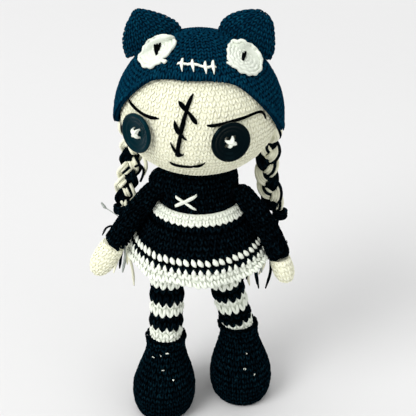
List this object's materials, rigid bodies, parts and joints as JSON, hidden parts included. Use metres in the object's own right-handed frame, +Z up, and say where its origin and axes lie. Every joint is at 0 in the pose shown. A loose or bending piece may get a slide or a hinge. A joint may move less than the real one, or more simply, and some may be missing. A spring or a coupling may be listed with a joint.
{
  "type": "amigurumi doll",
  "caption": "Crocheted rag doll in a cat-eared cap, with button eyes, stitched brows and mouth, cream and black plaits, a flared frilled skirt, striped legs and round boots.",
  "frame": {"origin": "centre of the overall box, at the level of the soles", "axes": "+Z up from the soles to the cap's ears; the doll faces -Y; the side called left is the picture's left, towards -X"},
  "size_m": [0.1243, 0.0956, 0.2574],
  "materials": {
    "cream_yarn": "matt crocheted yarn",
    "white_yarn": "matt crocheted yarn",
    "black_yarn": "matt crocheted yarn",
    "cap_yarn": "matt crocheted yarn, very dark teal",
    "boot_yarn": "matt crocheted yarn with a teal cast",
    "black_thread": "matt embroidery thread",
    "button_plastic": "polished",
    "stuffing": "loose fibre fill"
  },
  "bodies": {
    "torso": {"torso": "black_yarn", "torso_stuffing": "stuffing", "waist_band": "white_yarn", "skirt": "black_yarn", "hem_frill": "white_yarn", "chest_cross": "white_yarn"},
    "head": {"head": "cream_yarn", "head_stuffing": "stuffing", "mouth_stitch": "black_thread", "forehead_stitches": "black_thread", "left_button_eye": "button_plastic", "right_button_eye": "button_plastic", "left_button_thread": "white_yarn", "right_button_thread": "white_yarn", "left_eyebrow": "black_thread", "right_eyebrow": "black_thread", "left_hair_lock": "cream_yarn", "right_hair_lock": "cream_yarn"},
    "cap": {"cap": "cap_yarn", "cap_mouth": "white_yarn", "left_cap_ear": "cap_yarn", "right_cap_ear": "cap_yarn", "left_cap_eye": "white_yarn", "right_cap_eye": "white_yarn", "left_cap_pupil": "black_yarn", "right_cap_pupil": "black_yarn"},
    "left_shoulder": {"left_shoulder_stitches": "black_thread"},
    "left_arm": {"left_sleeve": "black_yarn", "left_hand": "cream_yarn"},
    "left_leg": {"left_leg": "black_yarn", "left_boot": "boot_yarn", "left_boot_cuff": "boot_yarn"},
    "left_plait": {"left_plait": "cream_yarn", "left_plait_tie": "black_yarn", "left_plait_tail": "cream_yarn"},
    "right_shoulder": {"right_shoulder_stitches": "black_thread"},
    "right_arm": {"right_sleeve": "black_yarn", "right_hand": "cream_yarn"},
    "right_leg": {"right_leg": "black_yarn", "right_boot": "boot_yarn", "right_boot_cuff": "boot_yarn"},
    "right_plait": {"right_plait": "cream_yarn", "right_plait_tie": "black_yarn", "right_plait_tail": "cream_yarn"}
  },
  "joints": [
    {"name": "head_turn", "type": "hinge", "parent": "torso", "child": "head", "pos_m": [0.0038, 0, 0.1655], "axis": [0, 0, 1], "range_deg": [-4, 4], "stiffness_Nm_per_rad": 0.02},
    {"name": "cap_lift", "type": "slide", "parent": "head", "child": "cap", "axis": [0, 0, 1], "range_m": [0, 0.09]},
    {"name": "left_shoulder_swing", "type": "hinge", "parent": "torso", "child": "left_shoulder", "pos_m": [-0.0226, -0.012, 0.15205], "axis": [-1, 0, 0], "range_deg": [0, 95]},
    {"name": "left_shoulder_raise", "type": "hinge", "parent": "left_shoulder", "child": "left_arm", "pos_m": [-0.0226, -0.012, 0.15205], "axis": [0, 1, 0], "range_deg": [0, 65]},
    {"name": "right_shoulder_swing", "type": "hinge", "parent": "torso", "child": "right_shoulder", "pos_m": [0.0302, -0.012, 0.15205], "axis": [-1, 0, 0], "range_deg": [0, 95]},
    {"name": "right_shoulder_raise", "type": "hinge", "parent": "right_shoulder", "child": "right_arm", "pos_m": [0.0302, -0.012, 0.15205], "axis": [0, -1, 0], "range_deg": [0, 65]},
    {"name": "left_hip_swing", "type": "hinge", "parent": "torso", "child": "left_leg", "pos_m": [-0.0152, 0, 0.1083], "axis": [-1, 0, 0], "range_deg": [-46, 58]},
    {"name": "right_hip_swing", "type": "hinge", "parent": "torso", "child": "right_leg", "pos_m": [0.0142, 0, 0.1083], "axis": [-1, 0, 0], "range_deg": [-31, 72]},
    {"name": "left_plait_swing", "type": "hinge", "parent": "head", "child": "left_plait", "pos_m": [-0.0374, 0.0165, 0.17526], "axis": [0, 1, 0], "range_deg": [0, 40]},
    {"name": "right_plait_swing", "type": "hinge", "parent": "head", "child": "right_plait", "pos_m": [0.0468, 0.0165, 0.17526], "axis": [0, -1, 0], "range_deg": [0, 40]}
  ]
}
